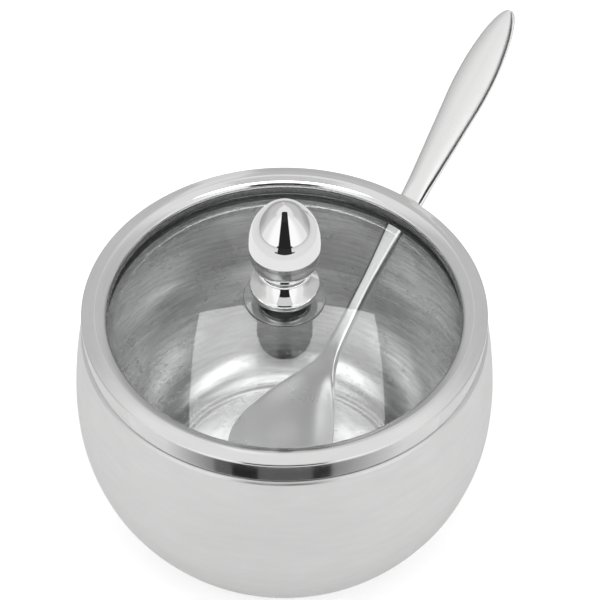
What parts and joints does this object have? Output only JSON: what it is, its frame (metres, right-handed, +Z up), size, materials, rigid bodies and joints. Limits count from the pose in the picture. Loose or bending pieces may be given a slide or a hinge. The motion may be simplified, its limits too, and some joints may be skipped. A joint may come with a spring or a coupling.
{
  "type": "sugar bowl with lid and spoon",
  "caption": "Round steel sugar bowl with a lift-off lid of ringed, domed glass and an egg-shaped knob, and a loose spoon that leaves through a notch under the lid's ring.",
  "frame": {"origin": "centre of the bowl's flat underside", "axes": "+Z up the bowl's axis, out of its mouth; +X to the right and -Y towards the viewer; the spoon leaves at 50 degrees from +X towards +Y"},
  "size_m": [0.0983, 0.1077, 0.0946],
  "materials": {
    "satin_steel": "satin",
    "polished_steel": "polished",
    "clear_glass": "gloss",
    "dark_silicone": "matte",
    "clear_silicone": "satin",
    "plain_steel": "satin",
    "spoon_steel": "satin polish"
  },
  "bodies": {
    "bowl": {"bowl_body": "satin_steel"},
    "lid": {"lid_ring": "polished_steel", "lid_seal": "dark_silicone", "lid_glass": "clear_glass", "knob_gasket": "clear_silicone", "knob": "polished_steel", "under_gasket": "clear_silicone", "backing_washer": "plain_steel", "knob_screw": "plain_steel"},
    "spoon": {"spoon": "spoon_steel"}
  },
  "joints": [
    {"name": "lid_lift", "type": "slide", "parent": "bowl", "child": "lid", "axis": [0, 0, 1], "range_m": [0, 0.13]},
    {"name": "spoon_lift", "type": "slide", "parent": "bowl", "child": "spoon", "axis": [0, 0, 1], "range_m": [0, 0.065]}
  ],
  "couplings": [
    {"joint": "spoon_lift", "follows": "lid_lift", "ratio": 0.5}
  ]
}
